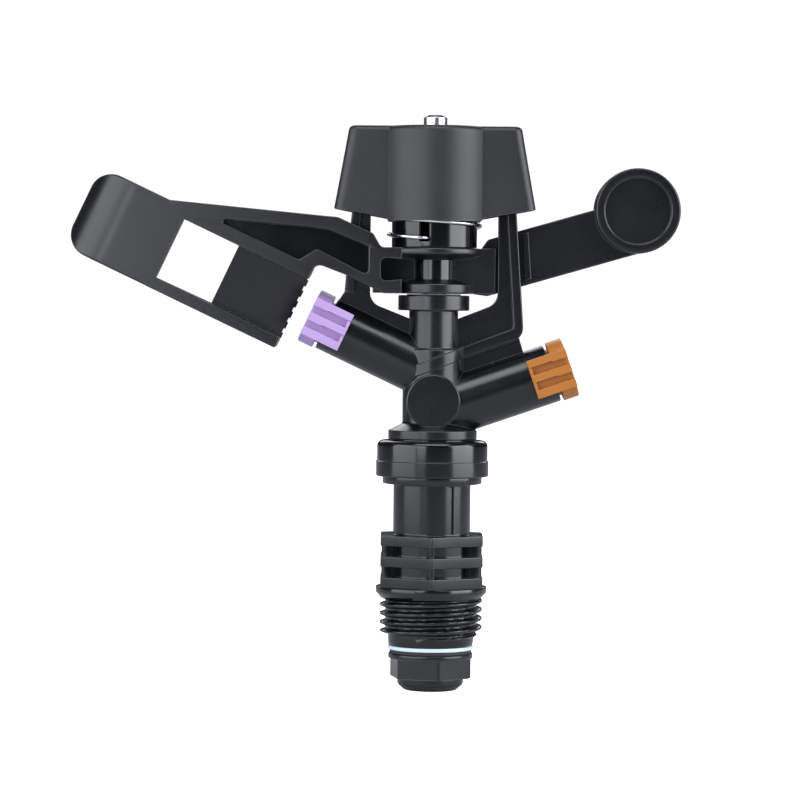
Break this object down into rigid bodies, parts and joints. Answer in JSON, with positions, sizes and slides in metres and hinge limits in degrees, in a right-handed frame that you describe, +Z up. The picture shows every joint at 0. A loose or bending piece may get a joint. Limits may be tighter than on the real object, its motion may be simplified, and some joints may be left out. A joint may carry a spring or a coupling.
{
  "type": "impact sprinkler",
  "caption": "Impact sprinkler head with a male threaded inlet, sprung impact arm, weather cap, long-range nozzle and spreader nozzle.",
  "frame": {"origin": "on the inlet thread's axis, at the top of the thread", "axes": "+Z up along the inlet's axis and the fulcrum pin, +X towards the spreader nozzle and the counterweight, -X towards the range nozzle and the arm's spoon, -Y towards the front"},
  "size_m": [0.1243, 0.024, 0.1171],
  "materials": {
    "black_body": "satin moulded acetal",
    "black_arm": "satin moulded acetal, fine grain",
    "black_gloss": "glossy moulded acetal",
    "black_cap": "matte, fine spark-eroded grain",
    "white_plastic": "smooth low-friction plastic",
    "rubber": "soft black rubber",
    "stainless": "drawn and turned stainless steel",
    "purple_nozzle": "satin moulded plastic",
    "orange_nozzle": "satin moulded plastic"
  },
  "bodies": {
    "base": {"inlet_bushing": "black_gloss"},
    "head": {"thrust_washer": "white_plastic", "rubber_washer": "rubber", "inlet_tube": "black_body", "stem_o_ring": "rubber", "thrust_spring": "stainless", "spring_washer": "stainless", "dust_cover": "black_gloss", "sprinkler_body": "black_body", "stream_straightener": "white_plastic", "range_nozzle": "purple_nozzle", "spreader_nozzle": "orange_nozzle", "range_o_ring": "rubber", "spreader_o_ring": "rubber", "fulcrum_pin": "stainless", "arm_washer": "white_plastic", "weather_cap": "black_cap", "spring_retainer": "black_gloss"},
    "arm": {"arm_spring": "stainless", "arm_bearing": "black_gloss", "impact_arm": "black_arm", "counterweight_slug": "stainless"}
  },
  "joints": [
    {"name": "head_spin", "type": "hinge", "parent": "base", "child": "head", "pos_m": [0, 0, 0], "axis": [0, 0, 1], "continuous": true},
    {"name": "arm_swing", "type": "hinge", "parent": "head", "child": "arm", "pos_m": [0, 0, 0.0627], "axis": [0, 0, 1], "range_deg": [0, 120], "stiffness_Nm_per_rad": 0.008, "springref_deg": -60.16}
  ]
}
